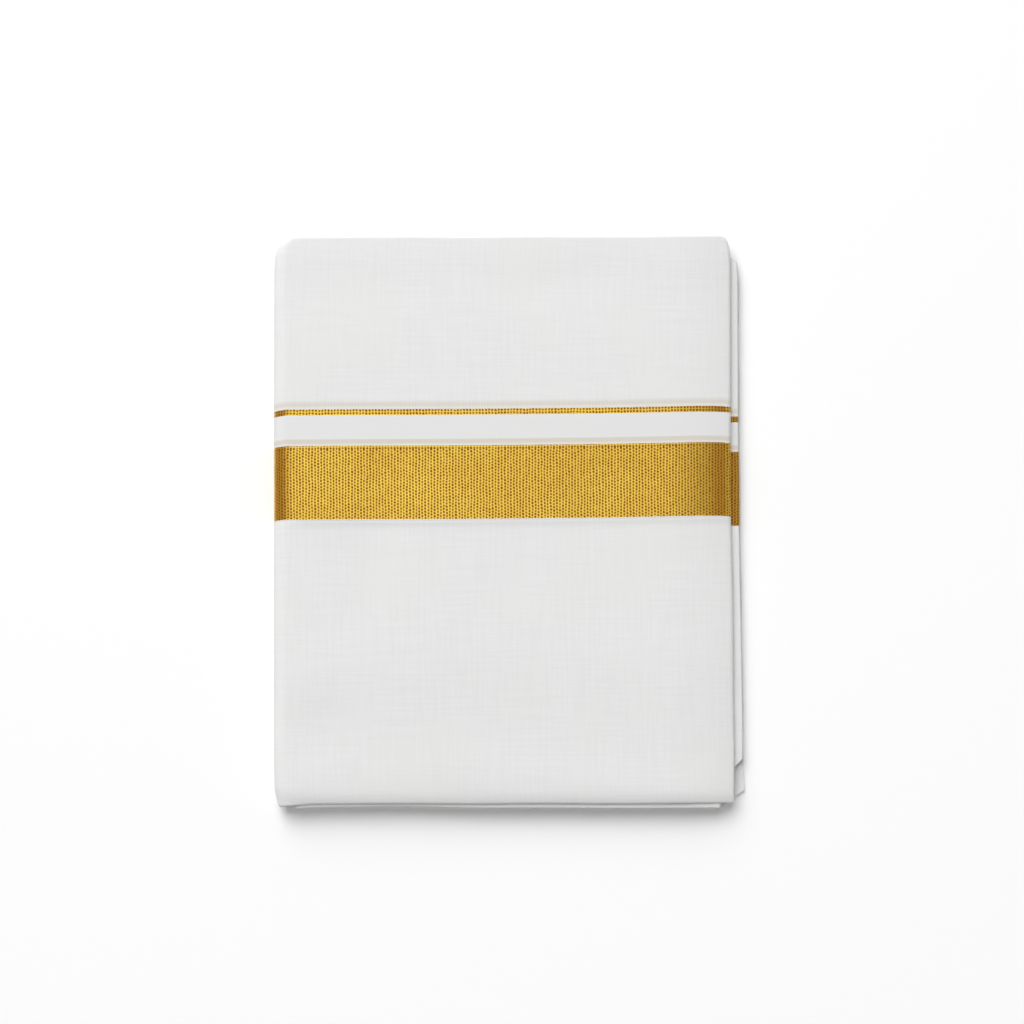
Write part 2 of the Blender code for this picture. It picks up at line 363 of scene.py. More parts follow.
def creased(x, y, creases):
    """The rise of soft creases at points of the plan."""
    rise = np.zeros_like(x)
    for crease in creases:
        start = np.array([crease.x0, crease.y0]) * MM
        along = np.array([crease.x1, crease.y1]) * MM - start
        length = np.hypot(*along)
        along /= length
        ahead = (x - start[0]) * along[0] + (y - start[1]) * along[1]
        bow = 0.02 * length * np.sin(pi * ahead / length * 1.3)
        aside = (x - start[0]) * along[1] - (y - start[1]) * along[0] + bow
        beyond = np.maximum(0, np.maximum(-ahead, ahead - length))
        away = (aside / (crease.width * MM)) ** 2 + (beyond / (crease.width * MM)) ** 2
        rise += crease.rise * MM * np.exp(-away)
    return rise


def settled(x, y, z, sizes):
    """Where a point of the flat stack comes to lie in the pressed cloth."""
    height = np.clip(z / STACK_HEIGHT, 0, 1)
    # the upper half falls gently towards its fold at the right, towards the spine and towards its
    # lower edge, and the strips under it fall towards the second fold
    fall = fallen(FALL_TO_FOLD, x) + fallen(FALL_TO_SPINE, x) + fallen(FALL_TO_LOWER_EDGE, y)
    z = z - fall * MM * np.clip((z - MIDDLE) / MIDDLE, 0, 1)
    in_lower_half = np.where(z < MIDDLE, np.clip(z / MIDDLE, 0, 1), 0)
    z = z - fallen(FALL_OF_LOWER_HALF, x) * MM * in_lower_half
    # the whole stack is pressed thinner along its upper and lower edges
    thin = 0.045 * smooth(146 * MM, 161 * MM, y) + 0.03 * smooth(-143 * MM, -158 * MM, y)
    z = MIDDLE + (z - MIDDLE) * (1 - thin)
    # the ridge of the selvedge, with the front panel falling away below it
    edge_y = BAND[0] + UPPER_SHIFT + lean(x, BAND[0])
    off = (y - edge_y) / MM
    below = np.maximum(0, -off)
    drop = DROP * (1 - np.exp(-((below / DROP_WIDTH) ** 1.6)))
    coming_back = RETURN * (1 - np.exp(-((below / RETURN_WIDTH) ** 2)))
    above_it = RIDGE_RISE * np.exp(-((off / RIDGE_WIDTH) ** 2))
    ridge = np.where(off > 0, above_it, RIDGE_RISE - drop + coming_back)
    ridge *= smooth(-128 * MM, -112 * MM, x) * MM
    waves = 0.5 * np.sin(x / (19 * MM) + y / (47 * MM))
    waves += 0.5 * np.sin(y / (23 * MM) - x / (61 * MM) + 2)
    top = creased(x, y, TOP_CREASES) * sizes.crease_height + ridge
    top += waves * 0.06 * MM * sizes.unevenness
    low = creased(x, y, LOW_CREASES) * sizes.crease_height
    return z + top * height ** 1.5 + low * (1 - height) ** 3


def laid(cut_face, across, path, sizes):
    """The points of one face of a stretch of cloth, a row for each row of the cut."""
    height, depth = cut_face[:, :1], cut_face[:, 1:]
    column = {}
    for name in ("share", "centre", "radius", "grows", "angle", "below", "reach"):
        column[name] = np.array([getattr(step, name) for step in path])[None, :]
    inside = np.array([step.to not in ("upper fold", "free end") for step in path])[None, :]
    spine = edge("spine", height) + MIDDLE * TURN_REACH + inside * drawn_in(height)
    ends = np.zeros((len(height), len(path)))
    for name in sorted({step.to for step in path}):
        chosen = [i for i, step in enumerate(path) if step.to == name]
        ends[:, chosen] = run_end(name, height, across[:, None])
    radius = column["radius"] + column["grows"] * depth
    x = spine + column["share"] * (ends - spine) + radius * column["reach"] * np.sin(column["angle"])
    z = column["centre"] + radius * np.cos(column["angle"])
    # each strip's upper and lower edge is set back unevenly, and more towards the right
    backs = []
    for side in ("top", "low"):
        ahead = np.array([getattr(SET_BACKS[step.strip[0]], side) for step in path])
        after = np.array([getattr(SET_BACKS[step.strip[1]], side) for step in path])
        part = np.array([step.strip[2] for step in path])
        backs.append((ahead + part * (after - ahead)) * MM)
    wander = 1 + 0.07 * np.sin(x / (43 * MM) + z / (2.1 * MM)) + 0.03 * np.sin(x / (17 * MM) - z / MM)
    wander += 0.45 * smooth(-75 * MM, 20 * MM, x)
    share = height / STRIP_HALF
    y = height - backs[0] * wander * np.clip(share, 0, 1) ** 6
    y = y + backs[1] * wander * np.clip(-share, 0, 1) ** 6
    shift = (1 - column["below"]) * (UPPER_SHIFT + lean(x, height)) + column["below"] * LOWER_SHIFT
    # the second fold's border sags a little by the line, and the top strip's left corner droops
    sag = 0.8 * np.exp(-(((height - LINE[0]) / (14 * MM)) ** 2)) * column["below"]
    droop = 0.9 * np.clip(-share, 0, 1) ** 8 * smooth(-108 * MM, -124 * MM, x) * (1 - column["below"])
    y = y + shift - (sag + droop) * MM
    ripple = np.sin(x / (17 * MM) + 1.3 * np.sin(x / (43 * MM))) * 0.12 * MM * sizes.unevenness
    y = y + ripple * np.abs(share) ** 8
    return np.stack([x, y, settled(x, y, z, sizes)], axis=2)


def sheet_of_cloth(name, cut, path, sizes, material, anchor=0):
    """A thin sheet along a path: a grid laid on the outer face, extruded to the inner face. Its
    UV map, `cloth`, holds metres along the flat cloth, counted from the step `anchor`, and across
    it."""
    bm = bmesh.new()
    columns, rows = len(path), len(cut.across)
    bmesh.ops.create_grid(bm, x_segments=columns - 1, y_segments=rows - 1, size=0.5)
    row_of = bm.verts.layers.int.new("row")
    step_of = bm.verts.layers.int.new("step")
    for vert in bm.verts:
        vert[step_of] = round((vert.co.x + 0.5) * (columns - 1))
        vert[row_of] = round((vert.co.y + 0.5) * (rows - 1))
    outer = laid(cut.outer, cut.across, path, sizes)
    inner = laid(cut.inner, cut.across, path, sizes)
    for vert in bm.verts:
        vert.co = outer[vert[row_of], vert[step_of]]
    for item in bmesh.ops.extrude_face_region(bm, geom=bm.faces[:])["geom"]:
        if isinstance(item, bmesh.types.BMVert):
            item.co = inner[item[row_of], item[step_of]]
    bmesh.ops.recalc_face_normals(bm, faces=bm.faces[:])
    steps = np.linalg.norm(np.diff(outer, axis=1), axis=2)
    along = np.concatenate([np.zeros((rows, 1)), np.cumsum(steps, axis=1)], axis=1)
    along = along - along[:, anchor:anchor + 1]
    cloth = bm.loops.layers.uv.new("cloth")
    for face in bm.faces:
        for loop in face.loops:
            row, step = loop.vert[row_of], loop.vert[step_of]
            loop[cloth].uv = (along[row, step], cut.across[row])
    bm.verts.layers.int.remove(row_of)
    bm.verts.layers.int.remove(bm.verts.layers.int["step"])
    mesh = bpy.data.meshes.new(name)
    bm.to_mesh(mesh)
    bm.free()
    mesh.materials.append(material)
    mesh.shade_smooth()
    mesh.set_sharp_from_angle(angle=radians(40))
    made = bpy.data.objects.new(name, mesh)
    bpy.context.scene.collection.objects.link(made)
    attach(made, "root")
    return made


class Nodes:
    """Places shader nodes in a tree and links them."""

    def __init__(self, tree):
        self.tree = tree
        self.placed = 0

    def add(self, kind, **settings):
        made = self.tree.nodes.new(kind)
        for name, value in settings.items():
            setattr(made, name, value)
        made.location = (220 * (self.placed % 12) - 1400, 600 - 220 * (self.placed // 12))
        self.placed += 1
        return made

    def feed(self, socket, value):
        if isinstance(value, bpy.types.NodeSocket):
            self.tree.links.new(value, socket)
        else:
            socket.default_value = value

    def maths(self, operation, *values):
        made = self.add("ShaderNodeMath", operation=operation)
        for socket, value in zip(made.inputs, values):
            self.feed(socket, value)
        return made.outputs[0]

    def span(self, value, start, end, low=0.0, high=1.0):
        """A soft step of a value, from low to high."""
        made = self.add("ShaderNodeMapRange", interpolation_type="SMOOTHSTEP")
        for socket, given in zip(made.inputs, (value, start, end, low, high)):
            self.feed(socket, given)
        return made.outputs[0]

    def between(self, value, start, end, soft, high=1.0):
        """A mask between two values and 0 outside, with soft sides."""
        rise = self.span(value, start - soft, start + soft, 0.0, high)
        fall = self.span(value, end - soft, end + soft, 1.0, 0.0)
        return self.maths("MULTIPLY", rise, fall)

    def mixed(self, share, first, second):
        made = self.add("ShaderNodeMix", data_type="RGBA")
        self.feed(made.inputs[0], share)
        self.feed(made.inputs[6], first)
        self.feed(made.inputs[7], second)
        return made.outputs[2]

    def scaled(self, vector, by):
        made = self.add("ShaderNodeVectorMath", operation="MULTIPLY")
        self.feed(made.inputs[0], vector)
        made.inputs[1].default_value = by
        return made.outputs[0]

    def noise(self, vector, scale=1.0, detail=2.0, roughness=0.5):
        made = self.add("ShaderNodeTexNoise", noise_dimensions="2D")
        self.feed(made.inputs["Vector"], vector)
        made.inputs["Scale"].default_value = scale
        made.inputs["Detail"].default_value = detail
        made.inputs["Roughness"].default_value = roughness
        return made.outputs[0]

    def split(self, vector):
        made = self.add("ShaderNodeSeparateXYZ")
        self.feed(made.inputs[0], vector)
        return made.outputs[0], made.outputs[1]

    def vector(self, x, y):
        made = self.add("ShaderNodeCombineXYZ")
        self.feed(made.inputs[0], x)
        self.feed(made.inputs[1], y)
        return made.outputs[0]


def group(name, inputs, outputs):
    """A new node group with named inputs and outputs, and the place to build it."""
    tree = bpy.data.node_groups.new(name, "ShaderNodeTree")
    for label, kind, value in inputs:
        socket = tree.interface.new_socket(label, in_out="INPUT", socket_type=kind)
        if value is not None:
            socket.default_value = value
    for label, kind in outputs:
        tree.interface.new_socket(label, in_out="OUTPUT", socket_type=kind)
    nodes = Nodes(tree)
    return nodes, nodes.add("NodeGroupInput").outputs, nodes.add("NodeGroupOutput").inputs


def plain_weave_group():
    """Threads over and under each other, and how they vary from one to the next."""
    name = "Plain weave"
    if name in bpy.data.node_groups:
        return bpy.data.node_groups[name]
    n, given, out = group(
        name,
        [("Cloth", "NodeSocketVector", None), ("Thread pitch", "NodeSocketFloat", 0.0005)],
        [("Height", "NodeSocketFloat"), ("Threads", "NodeSocketFloat"), ("Clouds", "NodeSocketFloat")],
    )
    along, across = n.split(given["Cloth"])
    wave = n.maths("SINE", n.maths("MULTIPLY", n.maths("DIVIDE", along, given["Thread pitch"]), pi))
    other = n.maths("SINE", n.maths("MULTIPLY", n.maths("DIVIDE", across, given["Thread pitch"]), pi))
    over = n.span(n.maths("MULTIPLY", wave, other), -0.5, 0.5)
    warp = n.maths("MULTIPLY", n.maths("ABSOLUTE", other), over)
    weft = n.maths("MULTIPLY", n.maths("ABSOLUTE", wave), n.maths("SUBTRACT", 1.0, over))
    n.feed(out["Height"], n.maths("MAXIMUM", warp, weft))
    long_threads = n.noise(n.scaled(given["Cloth"], (26, 620, 0)), detail=3.0, roughness=0.65)
    wide_threads = n.noise(n.scaled(given["Cloth"], (620, 26, 0)), detail=3.0, roughness=0.65)
    n.feed(out["Threads"], n.maths("MULTIPLY", n.maths("ADD", long_threads, wide_threads), 0.5))
    n.feed(out["Clouds"], n.noise(given["Cloth"], scale=17.0, detail=3.0, roughness=0.45))
    return bpy.data.node_groups[name]


def zari_group():
    """Gold threads: fine metal strips over a brown core, with columns of small dark dots and
    wavy ribs between them. `Metal` is where the strips are bare."""
    name = "Zari weave"
    if name in bpy.data.node_groups:
        return bpy.data.node_groups[name]
    n, given, out = group(
        name,
        [
            ("Cloth", "NodeSocketVector", None),
            ("Column pitch", "NodeSocketFloat", 0.00171),
            ("Dot pitch", "NodeSocketFloat", 0.00173),
            ("Stagger", "NodeSocketFloat", 0.5),
            ("Dot height", "NodeSocketFloat", 1.0),
        ],
        [("Dots", "NodeSocketFloat"), ("Metal", "NodeSocketFloat"), ("Height", "NodeSocketFloat")],
    )
    along, across = n.split(given["Cloth"])
    drift = n.maths("SUBTRACT", n.noise(n.scaled(given["Cloth"], (210, 130, 0)), detail=2.0), 0.5)
    patchy = n.span(n.noise(n.scaled(given["Cloth"], (330, 240, 0)), detail=2.0), 0.3, 0.7)
    column = n.maths("DIVIDE", along, given["Column pitch"])
    column = n.maths("ADD", column, n.maths("MULTIPLY", drift, 0.55))
    index = n.maths("FLOOR", column)
    aside = n.maths("SUBTRACT", n.maths("FRACT", column), 0.5)
    odd = n.maths("MULTIPLY", n.maths("FLOORED_MODULO", index, 2.0), given["Stagger"])
    uneven = n.add("ShaderNodeTexWhiteNoise", noise_dimensions="1D")
    n.feed(uneven.inputs["W"], index)
    late = n.maths("ADD", odd, n.maths("MULTIPLY", uneven.outputs[0], 0.2))
    late = n.maths("ADD", late, n.maths("MULTIPLY", drift, 0.5))
    down = n.maths("ADD", n.maths("DIVIDE", across, given["Dot pitch"]), late)
    above = n.maths("SUBTRACT", n.maths("FRACT", down), 0.5)
    each = n.add("ShaderNodeTexWhiteNoise", noise_dimensions="2D")
    n.feed(each.inputs["Vector"], n.vector(index, n.maths("FLOOR", down)))
    tall = n.maths("DIVIDE", above, given["Dot height"])
    square = n.maths("MULTIPLY", tall, tall)
    away = n.maths("SQRT", n.maths("ADD", n.maths("MULTIPLY", aside, aside), square))
    strength = n.maths("ADD", n.maths("MULTIPLY", each.outputs[0], 0.3), n.maths("MULTIPLY", patchy, 0.35))
    dots = n.maths("MULTIPLY", n.span(away, 0.18, 0.42, 1.0, 0.0), n.maths("ADD", strength, 0.55))
    dots = n.maths("MINIMUM", dots, 1.0)
    sway = n.maths("MULTIPLY", n.maths("SINE", n.maths("MULTIPLY", down, 2 * pi)), 0.1)
    ribs = n.maths("MULTIPLY", n.maths("ABSOLUTE", n.maths("ADD", aside, sway)), 2.0)
    n.feed(out["Dots"], dots)
    fine = n.maths("FRACT", n.maths("DIVIDE", across, STRIP_PITCH))
    fine = n.maths("MULTIPLY", n.maths("ABSOLUTE", n.maths("SUBTRACT", fine, 0.5)), 2.0)
    fine = n.span(fine, 0.72, 0.86, 1.0, 0.0)
    shine = n.span(each.outputs[0], 0.0, 1.0, 1.0, 0.88)
    shine = n.maths("MULTIPLY", n.span(ribs, 0.1, 0.8, 0.8, 1.0), shine)
    bare = n.maths("SUBTRACT", 1.0, dots)
    n.feed(out["Metal"], n.maths("MULTIPLY", n.maths("MULTIPLY", fine, shine), bare))
    n.feed(out["Height"], n.maths("MULTIPLY", n.maths("SUBTRACT", n.span(ribs, 0.1, 1.0), dots), 0.5))
    return bpy.data.node_groups[name]


def placed_group(nodes, made, **values):
    """A node group in a material, with its inputs fed."""
    node = nodes.add("ShaderNodeGroup", node_tree=made)
    for name, value in values.items():
        nodes.feed(node.inputs[name.replace("_", " ")], value)
    return node.outputs


def stripe(n, along, across, start, end, fade, pitch, stagger, strength):
    """The mask of a beige stripe of small faint dashes beside the gold. It fades out upwards, and
    the dashes of its upper row are shifted along by `stagger`."""
    rise = n.maths("MAXIMUM", n.span(across, start - 0.5 * MM, start + 0.5 * MM),
                   n.between(across, start - 1.3 * MM, start, 0.2 * MM, 0.3))
    inside = n.maths("MULTIPLY", rise, n.span(across, end - fade, end + fade, 1.0, 0.0))
    middle = (start + end) / 2
    shift = n.span(across, middle - 0.2 * MM, middle + 0.2 * MM, 0.0, stagger)
    turns = n.maths("ADD", n.maths("DIVIDE", along, pitch), shift)
    dash = n.maths("SINE", n.maths("MULTIPLY", turns, 2 * pi))
    uneven = n.noise(n.vector(n.maths("MULTIPLY", along, 260.0), n.maths("MULTIPLY", across, 400.0)))
    dash = n.maths("MULTIPLY", dash, n.span(uneven, 0.35, 0.65, 0.03, 0.17))
    return n.maths("MULTIPLY", inside, n.maths("ADD", dash, strength))


def painted_fold_shade_zone(n, along):
    """The mask of the pressed folds at both ends of the upper face, where the gold is painted darker and
    browner: painted shade for the metal that tilts away from the light there."""
    spine = n.span(along, 128 * MM, 130 * MM, 1.0, 0.0)
    spine = n.maths("MULTIPLY", n.span(along, 117.5 * MM, 124.5 * MM), spine)
    back = n.maths("MULTIPLY", along, -1.0)
    fold = n.span(back, 124 * MM, 125 * MM, 1.0, 0.0)
    fold = n.maths("MULTIPLY", n.span(back, 112.5 * MM, 121 * MM), fold)
    return n.maths("ADD", spine, fold)


def cloth_material(name, colours, weave, has_cotton=True, has_zari=False, line=False):
    """A material for a stretch of the cloth: cotton, zari, or cotton with its border woven in."""
    if name in bpy.data.materials:
        return bpy.data.materials[name]
    made = bpy.data.materials.new(name)
    made.use_nodes = True
    n = Nodes(made.node_tree)
    shader = made.node_tree.nodes["Principled BSDF"]
    cloth = n.add("ShaderNodeUVMap", uv_map="cloth").outputs[0]
    along, across = n.split(cloth)
    threads = placed_group(n, plain_weave_group(), Cloth=cloth, Thread_pitch=weave.thread_pitch)
    if has_cotton:
        thick = n.span(threads["Threads"], 0.3, 0.7)
        pale = n.mixed(thick, tuple(colours.cotton_thread), tuple(colours.cotton))
        warm = n.span(threads["Clouds"], 0.5, 0.72)
        colour = n.mixed(n.maths("MULTIPLY", warm, 0.55), pale, tuple(colours.cotton_warm))
        closer = n.between(across, 46.5 * MM, 58.5 * MM, 1.5 * MM)
        colour = n.mixed(closer, colour, tuple(colours.cotton_thread))
        upper = stripe(n, along, across, 63.8 * MM, 66.5 * MM, 1.5 * MM, weave.dash_pitch, 0.0, 0.68)
        lower = stripe(n, along, across, 43.1 * MM, 45.7 * MM, 0.7 * MM, weave.dash_pitch, 0.5, 0.84)
        colour = n.mixed(n.maths("ADD", upper, lower), colour, tuple(colours.stripe))
        height = n.maths("MULTIPLY", threads["Threads"], 0.4)
        height = n.maths("ADD", n.maths("MULTIPLY", threads["Height"], 0.5), height)
    if has_zari:
        if line:
            woven = placed_group(n, zari_group(), Cloth=cloth, Column_pitch=weave.column_pitch * 1.03,
                                 Dot_pitch=1.65 * MM, Stagger=0.0, Dot_height=1.1)
        else:
            stagger = n.span(across, BAND[1] - 1.9 * MM, BAND[1] - 1.5 * MM, 0.5, 0.0)
            woven = placed_group(n, zari_group(), Cloth=cloth, Column_pitch=weave.column_pitch,
                                 Dot_pitch=weave.dot_pitch, Stagger=stagger, Dot_height=1.15)
        bare = n.maths("MULTIPLY", woven["Metal"], n.span(threads["Clouds"], 0.38, 0.62, 1.0, 0.9))
        if has_cotton:
            # only the second fold shows, and it lies beyond the upper one; its gold gets the same painted
            # shade
            aside = n.split(n.add("ShaderNodeTexCoord").outputs["Object"])[0]
            folds = n.span(aside, 123 * MM, 125 * MM)
        else:
            folds = painted_fold_shade_zone(n, along)
        # painted shade: at the folds the gold is mixed towards the brown of the dots and made less
        # metallic, standing in for the dark reflection of the tilted metal
        painted_fold_shade = n.maths("MULTIPLY", folds, 0.37)
        bare = n.maths("MULTIPLY", bare, n.maths("SUBTRACT", 1.0, painted_fold_shade))
        golden = n.mixed(bare, tuple(colours.zari), tuple(colours.zari_bright))
        golden = n.mixed(woven["Dots"], golden, tuple(colours.zari_dots_and_fold_shade))
        golden = n.mixed(painted_fold_shade, golden, tuple(colours.zari_dots_and_fold_shade))
        if has_cotton:
            gold = n.between(across, *LINE, 0.15 * MM)
            gold = n.maths("ADD", n.between(across, *BAND, 0.15 * MM), gold)
            colour = n.mixed(gold, colour, golden)
            height = n.maths("ADD", height, n.maths("MULTIPLY", woven["Height"], gold))
        else:
            edge_start = BAND[0] + weave.selvedge
            gold = n.span(across, edge_start - 0.1 * MM, edge_start + 0.1 * MM)
            colour = n.mixed(gold, tuple(colours.cotton), golden)
            height = woven["Height"]
        n.feed(shader.inputs["Metallic"], n.maths("MULTIPLY", gold, bare))
        n.feed(shader.inputs["Roughness"], n.maths("SUBTRACT", 0.86, n.maths("MULTIPLY", gold, 0.57)))
    else:
        shader.inputs["Roughness"].default_value = 0.86
        shader.inputs["Sheen Weight"].default_value = 0.08
    shader.inputs["Specular IOR Level"].default_value = 0.1
    n.feed(shader.inputs["Base Color"], colour)
    bump = n.add("ShaderNodeBump")
    bump.inputs["Strength"].default_value = 0.6
    bump.inputs["Distance"].default_value = weave.relief
    n.feed(bump.inputs["Height"], height)
    n.feed(shader.inputs["Normal"], bump.outputs[0])
    return made


class DhotiSizes(bpy.types.PropertyGroup):
    """Sizes of the cloth."""

    thickness: bpy.props.FloatProperty(
        name="Cloth thickness", description="Thickness of one layer of cloth",
        default=0.3 * MM, min=0.1 * MM, max=0.5 * MM, precision=5, unit="LENGTH")
    crease_height: bpy.props.FloatProperty(
        name="Crease height", description="How strongly the soft creases show",
        default=1.0, min=0.0, max=2.0, subtype="FACTOR")
    unevenness: bpy.props.FloatProperty(
        name="Unevenness", description="How much the surface and the edges wander",
        default=1.0, min=0.0, max=2.0, subtype="FACTOR")


class DhotiWeave(bpy.types.PropertyGroup):
    """Sizes of the weave."""

    thread_pitch: bpy.props.FloatProperty(
        name="Thread pitch", description="Distance between two cotton threads",
        default=0.5 * MM, precision=5, unit="LENGTH")
    column_pitch: bpy.props.FloatProperty(
        name="Column pitch", description="Distance between two columns of dots in the gold",
        default=1.71 * MM, precision=5, unit="LENGTH")
    dot_pitch: bpy.props.FloatProperty(
        name="Dot pitch", description="Distance between two dots in a column",
        default=1.73 * MM, precision=5, unit="LENGTH")
    dash_pitch: bpy.props.FloatProperty(
        name="Dash pitch", description="Distance between two dashes of the beige stripes",
        default=1.68 * MM, precision=5, unit="LENGTH")
    selvedge: bpy.props.FloatProperty(
        name="Selvedge", description="Width of the white edge below the gold band",
        default=0.5 * MM, precision=5, unit="LENGTH")
    relief: bpy.props.FloatProperty(
        name="Thread relief", description="Height of the threads in the bump",
        default=0.06 * MM, precision=5, unit="LENGTH")


class DhotiColours(bpy.types.PropertyGroup):
    """Colours of the cloth."""

    cotton: bpy.props.FloatVectorProperty(
        name="Cotton", description="White of the cotton",
        default=(0.735, 0.735, 0.733, 1), size=4, min=0, max=1, subtype="COLOR")
    cotton_thread: bpy.props.FloatVectorProperty(
        name="Cotton thread", description="White of the thinner threads",
        default=(0.700, 0.700, 0.697, 1), size=4, min=0, max=1, subtype="COLOR")
    cotton_warm: bpy.props.FloatVectorProperty(
        name="Warm cotton", description="White of the faint warm patches",
        default=(0.725, 0.722, 0.698, 1), size=4, min=0, max=1, subtype="COLOR")
    stripe: bpy.props.FloatVectorProperty(
        name="Stripe", description="Beige of the dashed stripes beside the gold",
        default=(0.60, 0.555, 0.475, 1), size=4, min=0, max=1, subtype="COLOR")
    zari: bpy.props.FloatVectorProperty(
        name="Zari", description="Brown of the core between the metal strips",
        default=(0.51, 0.146, 0.0065, 1), size=4, min=0, max=1, subtype="COLOR")
    zari_bright: bpy.props.FloatVectorProperty(
        name="Bright zari", description="Gold of the metal strips",
        default=(1.0, 0.785, 0.128, 1), size=4, min=0, max=1, subtype="COLOR")
    # the brown of the small dots, also used for the painted shade on the gold at the folds
    zari_dots_and_fold_shade: bpy.props.FloatVectorProperty(
        name="Zari dots", description="Brown of the small dots in the gold",
        default=(0.17, 0.052, 0.002, 1), size=4, min=0, max=1, subtype="COLOR")


class DhotiStage(bpy.types.PropertyGroup):
    """The floor, the lights and the camera."""

    floor: bpy.props.FloatVectorProperty(
        name="Floor", description="Colour of the floor",
        default=(0.90, 0.90, 0.90, 1), size=4, min=0, max=1, subtype="COLOR")
    key: bpy.props.FloatProperty(
        name="Key light", description="Strength of the soft light from the far side", default=2.83, min=0)
    far: bpy.props.FloatProperty(
        name="Far light", description="Power of the soft panel beyond the cloth's upper edge",
        default=2.2, min=0, unit="POWER")
    room: bpy.props.FloatProperty(
        name="Room light", description="Strength of the room's light over the cloth, from far to near",
        default=1.18, min=0)
    fill: bpy.props.FloatProperty(
        name="Fill light", description="Strength of the room's light from the right", default=0.24, min=0)
    camera_height: bpy.props.FloatProperty(
        name="Camera height", description="Height of the camera over the floor", default=1.8, unit="LENGTH")


def chosen(context):
    """The sizes, the weave and the colours that are set in the panel."""
    scene = context.scene
    return scene.dhoti_sizes, scene.dhoti_weave, scene.dhoti_colours


def outer_anchor(path):
    """The step halfway over the top, from which lengths along the cloth are counted."""
    on_top = [i for i, step in enumerate(path) if step.strip[:2] == ("T1", "T1") and step.reach == 1]
    return on_top[len(on_top) // 2]


class MakeUpperCloth(bpy.types.Operator):
    """Make the cloth above the border, over the strip's upper edge and down its back"""

    bl_idname = "dhoti.make_upper_cloth"
    bl_label = "Upper cloth"

    def execute(self, context):
        sizes, weave, colours = chosen(context)
        upper = nose(1, OUTER_STRIP)
        low = nose(-1, OUTER_STRIP)
        face = level(LINE[1], upper[0][0], 0, FINE_ROWS)[:-1] + upper
        face += level(upper[-1][0], low[0][0], OUTER_STRIP, COARSE_ROWS)[1:]
        cut = Cut(face, sizes.thickness)
        path = outer_path()
        cotton = cloth_material("White cotton", colours, weave)
        made = sheet_of_cloth("upper_cloth", cut, path, sizes, cotton, outer_anchor(path))
        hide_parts("upper_panel")
        return {"FINISHED"}


class MakeBorder(bpy.types.Operator):
    """Make the fine gold line, the ground below it and the broad gold band"""

    bl_idname = "dhoti.make_border"
    bl_label = "Border"

    def execute(self, context):
        sizes, weave, colours = chosen(context)
        path = outer_path()
        cotton = cloth_material("White cotton", colours, weave)
        band_gold = cloth_material("Zari band", colours, weave, has_cotton=False, has_zari=True)
        line_gold = cloth_material("Zari line", colours, weave, has_cotton=False, has_zari=True, line=True)
        stretches = [
            ("gold_line", LINE, 0.8 * MM, line_gold, "zari_line", "zari"),
            ("ground_below_line", (BAND[1], LINE[0]), FINE_ROWS, cotton, "border_ground", "cotton"),
            ("gold_band", BAND, 2.0 * MM, band_gold, "zari_band", "zari"),
        ]
        for name, (start, end), pitch, material, node, slot in stretches:
            cut = Cut(level(start, end, 0, pitch), sizes.thickness)
            sheet_of_cloth(name, cut, path, sizes, material, outer_anchor(path))
            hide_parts(node)
        return {"FINISHED"}


class MakeFrontCloth(bpy.types.Operator):
    """Make the cloth below the border, from under the flap down and round the lower edge"""

    bl_idname = "dhoti.make_front_cloth"
    bl_label = "Front cloth"

    def execute(self, context):
        sizes, weave, colours = chosen(context)
        under = sizes.thickness + 0.05 * MM
        face = nose(-1, OUTER_STRIP)
        start = len(face) - 1
        face += level(face[-1][0], -8 * MM, 0, FINE_ROWS)[1:]
        face += level(-8 * MM, -1.2 * MM, 0, 0.75 * MM)[1:]
        # the cloth dips under the flap's selvedge
        face += [(-0.4 * MM, 0.05 * MM), (0.5 * MM, 0.2 * MM), (1.3 * MM, under), (3 * MM, under)]
        face += level(3 * MM, 22 * MM, under, 6 * MM)[1:]
        cut = Cut(face, sizes.thickness, known=start)
        path = outer_path()
        cotton = cloth_material("White cotton", colours, weave)
        made = sheet_of_cloth("front_cloth", cut, path, sizes, cotton, outer_anchor(path))
        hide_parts("front_panel")
        return {"FINISHED"}


class MakeInnerStrips(bpy.types.Operator):
    """Make the strips inside the stack, with the second fold that shows at the right"""

    bl_idname = "dhoti.make_inner_strips"
    bl_label = "Inner strips"

    def execute(self, context):
        sizes, weave, colours = chosen(context)
        under = sizes.thickness + 0.04 * MM
        upper, low = nose(1, INNER_STRIP), nose(-1, INNER_STRIP)
        face = level(BAND[0], upper[0][0], 0, COARSE_ROWS)[:-1] + upper
        face += level(upper[-1][0], low[0][0], INNER_STRIP, 20 * MM)[1:]
        face += low[1:] + level(low[-1][0], -4 * MM, 0, COARSE_ROWS)[1:]
        # the selvedge overlaps the cloth below it
        face += [(-1.5 * MM, 0.04 * MM), (0.2 * MM, 0.2 * MM), (1.2 * MM, under), (9 * MM, under)]
        cut = Cut(face, sizes.thickness)
        bordered = cloth_material("Cotton with its border", colours, weave, has_zari=True)
        made = sheet_of_cloth("inner_strips", cut, inner_path(), sizes, bordered)
        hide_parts("hidden_layers", "second_upper", "second_line", "second_ground", "second_band",
                    "second_lower")
        return {"FINISHED"}


